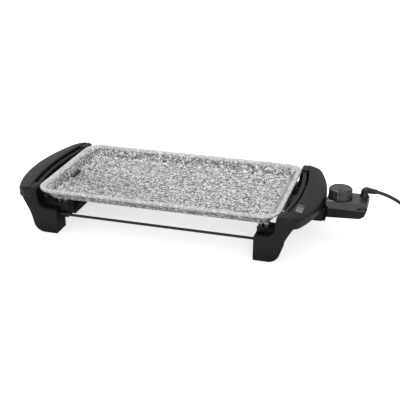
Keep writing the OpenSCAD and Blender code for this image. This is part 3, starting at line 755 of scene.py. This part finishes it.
# %% Make the two handle covers
COVER_HALF, RIDGE_X, OUTER_X = 131, 254, 293
RIDGE_R, OUTER_ARC_R, END_R = 550, 292, 13
BAND_TOP, SKIRT_Z, FALL = 91, 68, 8.5 / 39
BOSS_X, BOSS_Y, BOSS_REACH = 266, 62, 4.8


def sag(y, radius):
    """How far an arc has fallen back at a distance from its middle."""
    return radius - math.sqrt(radius * radius - y * y)


def half_moon_ring(bm, side, g, drop=None, z=None):
    """The cover's outline, drawn in by g. Its height is z, or drop under the conical top."""
    made = bmesh.ops.create_circle(bm, segments=RING_STEPS, radius=1)["verts"]
    half, steps = COVER_HALF - g, RING_STEPS // 2
    corner = max(END_R - g, 1)
    for i, vert in enumerate(made):
        outer = i < steps
        share = i / (steps - 1) if outer else (i - steps) / (steps - 1)
        y = -half * math.cos(math.pi * share) * (1 if outer else -1)
        if outer:
            over = max(0, abs(y) - (half - corner))
            cut_back = corner - math.sqrt(max(0, corner**2 - over**2))
            x = OUTER_X - g - sag(y, OUTER_ARC_R) - cut_back
        else:
            x = RIDGE_X + g - sag(y, RIDGE_R)
        reach = math.hypot(x + RIDGE_R - RIDGE_X, y) - RIDGE_R
        height = z if z is not None else BAND_TOP - reach * FALL - drop
        vert.co = at(side * x, y, height)
    return made


def cover_rings(bm, side):
    """The rings of one cover, from its hollow underside round to its top."""
    steps = [
        {"g": 5, "drop": 3}, {"g": 3, "drop": 5}, {"g": 3, "z": SKIRT_Z + 0.4},
        {"g": 2.6, "z": SKIRT_Z}, {"g": 0.4, "z": SKIRT_Z}, {"g": 0, "z": SKIRT_Z + 0.4},
        {"g": 0, "drop": 4.2}, {"g": 0.3, "drop": 2.6}, {"g": 1.1, "drop": 1.15},
        {"g": 2.4, "drop": 0.3}, {"g": 4.0, "drop": 0},
    ]
    return [half_moon_ring(bm, side, **step) for step in steps]


for side, name in ((-1, "left"), (1, "right")):
    cover = bmesh.new()
    stack(cover, cover_rings(cover, side))
    node = f"{name}_handle_cover"
    piece = finish_piece(cover, f"{name}_cover", node, sharp=50)
    posts = merged_copy(node)
    lost = [
        v
        for v in posts.verts
        if min(abs(v.co.y - s * BOSS_Y * MM) for s in (-1, 1)) > BOSS_REACH * MM
        or abs(v.co.x - PLATE_X - side * BOSS_X * MM) > BOSS_REACH * MM
    ]
    bmesh.ops.delete(posts, geom=lost, context="VERTS")
    finish_piece(posts, f"{name}_cover_bosses", node)
    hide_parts(node)
    print(name, "cover:", len(piece.data.polygons), "faces")

# %% [markdown]
# ## The end frames
# The legs and feet are the solids' own shapes with their outer edges rounded. The mould
# leaves about a millimetre and a half on the long edges, and less on the housing's. New
# meshes would only repeat the solids, so a merged copy is bevelled, and its short edges
# stay sharp, because a bevel would tangle where small details meet.

# %% Round the edges of the end frames, the tray, the shroud and the housing
# Each step: solid, radius of its rounding and the shortest edge that is rounded
for node, radius, long_edge in (
    ("left_end_frame", 1.4, 3.2),
    ("right_end_frame", 1.4, 3.2),
    ("thermostat_base", 0.5, 3.0),
    ("thermostat_top", 1.2, 5.0),
    ("drip_tray", 0.7, 3.0),
    ("socket_shroud", 0.8, 3.0),
    ("coil_tie", 0.3, 2.0),
):
    shape = merged_copy(node)
    print(node, "rounded edges:", soften(shape, radius * MM, long_edge * MM))
    piece = finish_piece(shape, node + "_rounded", node)
    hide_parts(node)

# %% [markdown]
# ## The knob
# The knob is a short cylinder with 16 shallow flutes that stop above its foot, a
# chamfered crown and a sunk disc. Its rings are circles, and where the flutes are, each
# vertex is drawn in by the depth of the flute at its angle. A wave round the knob gives
# that depth, cut off below for the lands between the flutes and made fuller by a power.

# %% Make the knob
knob_low, knob_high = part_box("control_knob")
KNOB = (knob_low + knob_high) / 2
KNOB_R, KNOB_H = 21.5, (knob_high.z - knob_low.z) / MM
FLUTES, FLUTE_DEPTH, KNOB_STEPS = 16, 1.1, 160
LAND, FULLNESS = 0.1, 0.6


def knob_ring(bm, radius, z, depth):
    """A circle of the knob, drawn in by depth where its flutes are."""
    made = bmesh.ops.create_circle(bm, segments=KNOB_STEPS, radius=1)["verts"]
    for vert in made:
        angle = math.atan2(vert.co.y, vert.co.x)
        wave = math.cos(FLUTES * angle)
        r = radius - depth * max(0.0, (wave - LAND) / (1 - LAND)) ** FULLNESS
        x, y = KNOB.x + r * MM * math.cos(angle), KNOB.y + r * MM * math.sin(angle)
        vert.co = (x, y, knob_low.z + z * MM)
    return made


# Each step: radius, height over the knob's foot and depth of the flutes
knob_profile = [
    (KNOB_R - 4, 11.5, 0), (KNOB_R - 3.5, 11, 0), (KNOB_R - 3.5, 0.2, 0), (KNOB_R - 3.2, 0, 0),
    (KNOB_R + 0.6, 0, 0), (KNOB_R + 1, 0.4, 0), (KNOB_R + 0.2, 3.8, 0), (KNOB_R, 4.8, 0),
    (KNOB_R, 5.6, FLUTE_DEPTH), (KNOB_R, KNOB_H - 2.6, FLUTE_DEPTH),
    (KNOB_R - 0.3, KNOB_H - 1.8, 0.9), (KNOB_R - 1.2, KNOB_H - 0.7, 0.5),
    (KNOB_R - 2.3, KNOB_H, 0), (KNOB_R - 4.1, KNOB_H, 0), (KNOB_R - 4.5, KNOB_H - 0.4, 0),
    (KNOB_R - 4.6, KNOB_H - 1.6, 0),
]
knob_mesh = bmesh.new()
stack(knob_mesh, [knob_ring(knob_mesh, r, z, d) for r, z, d in knob_profile])
knob = finish_piece(knob_mesh, "fluted_knob", "control_knob", sharp=50)
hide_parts("control_knob")
print("knob:", len(knob.data.polygons), "faces")

# %% [markdown]
# ## The strain relief
# A soft elbow carries the lead out of the housing: a collar, a short upright neck, a
# bend and a tapered sleeve with grooves that let it flex. A curve whose points
# carry their own radius makes it in one sweep, and is then turned into a mesh.

# %% Make the strain relief
# Each step: a point of the middle line and the radius there
RELIEF_LINE = [
    ((360, 28, 79.0), 8.0), ((360, 28, 81.8), 7.9), ((360, 28, 82.6), 6.9), ((360, 28, 86.8), 6.7),
    ((360.4, 28, 89.3), 6.7), ((361.8, 28, 90.8), 6.6), ((364.5, 28, 91.2), 6.4),
    ((366.6, 28, 91.1), 6.1), ((367.0, 28, 91.05), 5.3), ((368.0, 28, 91.0), 5.3),
    ((368.4, 28, 90.95), 5.9), ((370.4, 28, 90.85), 5.7), ((370.8, 28, 90.8), 5.0),
    ((371.8, 28, 90.75), 5.0), ((372.2, 28, 90.7), 5.5), ((374.2, 28, 90.6), 5.3),
    ((374.6, 28, 90.55), 4.7), ((375.6, 28, 90.5), 4.7), ((376.0, 28, 90.45), 5.0),
    ((378.5, 28, 90.3), 4.8), ((383, 28, 89.9), 4.2),
]


def swept(name, line):
    """A closed tube of varying radius along points in millimetres, as a bmesh."""
    curve = bpy.data.curves.new(name, "CURVE")
    curve.dimensions, curve.bevel_depth, curve.bevel_resolution = "3D", MM, 6
    curve.use_fill_caps = True
    strand = curve.splines.new("POLY")
    strand.points.add(len(line) - 1)
    for point, (place, radius) in zip(strand.points, line):
        point.co, point.radius = (*at(*place), 1), radius
    holder = linked(name, curve)
    bpy.context.view_layer.update()
    ready = holder.evaluated_get(bpy.context.evaluated_depsgraph_get())
    bm = bmesh.new()
    bm.from_mesh(ready.to_mesh())
    bpy.data.objects.remove(holder)
    bmesh.ops.remove_doubles(bm, verts=bm.verts, dist=WELD)
    bmesh.ops.recalc_face_normals(bm, faces=bm.faces)
    return bm


relief = finish_piece(
    swept("relief_sweep", RELIEF_LINE), "ribbed_relief", "strain_relief", sharp=60
)
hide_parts("strain_relief")
print("relief:", len(relief.data.polygons), "faces")

# %% [markdown]
# ## Floor and light
# A plain pale table stands under the object. Matt paint gives the eye a soft shadow and
# nothing else, and a glow that only camera rays see makes the table white and the shadow
# pale without more light on the object.

# %% Set the table
TABLE_HALF, TABLE_GLOW = 6, 0.66
floor_mesh = bmesh.new()
bmesh.ops.create_grid(floor_mesh, x_segments=1, y_segments=1, size=TABLE_HALF)
table = linked("table", mesh_of(floor_mesh, "table"))

table_paint, _ = start("table_paint")
lit = add(table_paint, "BsdfDiffuse", {"Color": colour("#f4f4f4")})
glow = add(table_paint, "Emission", {"Color": (1, 1, 1, 1), "Strength": TABLE_GLOW})
both = add(table_paint, "AddShader", {0: lit.outputs[0], 1: glow.outputs[0]})
rays = add(table_paint, "LightPath")
plain = add(
    table_paint,
    "MixShader",
    {"Fac": rays.outputs["Is Camera Ray"], 1: lit.outputs[0], 2: both.outputs[0]},
)
add(table_paint, "OutputMaterial", {"Surface": plain.outputs[0]})
table.data.materials.append(table_paint)
print("table:", 2 * TABLE_HALF, "m wide")

# %% [markdown]
# The world lights the object evenly, and camera rays see it as white. A large soft lamp
# hangs over the left end, a little behind it, and a wider one stands at the front, to
# the right. Both are discs, whose wide soft edges leave no hard shadow.

# %% Light the object
WORLD_LIGHT, WORLD_SEEN = 0.55, 1.0
world = bpy.data.worlds.new("studio")
bpy.context.scene.world = world
world.use_nodes = True
sky = world.node_tree.nodes["Background"]
sky.inputs["Color"].default_value = (1, 1, 1, 1)
seen = add(world, "LightPath").outputs["Is Camera Ray"]
strength = add(world, "MapRange", {"Value": seen, "To Min": WORLD_LIGHT, "To Max": WORLD_SEEN})
world.node_tree.links.new(strength.outputs[0], sky.inputs["Strength"])


def softbox(name, place, target, size, watts):
    """A round soft lamp at a place, turned to its target."""
    lamp = bpy.data.lights.new(name, "AREA")
    lamp.shape, lamp.size, lamp.energy = "DISK", size, watts
    holder = linked(name, lamp)
    holder.location = place
    holder.rotation_euler = (Vector(target) - Vector(place)).to_track_quat("-Z", "Y").to_euler()


softbox("overhead", place=(-0.5, 0.4, 1.9), target=(0, 0, 0), size=1.2, watts=16)
softbox("front", place=(0.9, -2.2, 1.2), target=(0, 0, 0.05), size=1.4, watts=14.5)
bpy.context.scene.view_settings.view_transform = "Standard"
print("lamps:", len(bpy.data.lights))
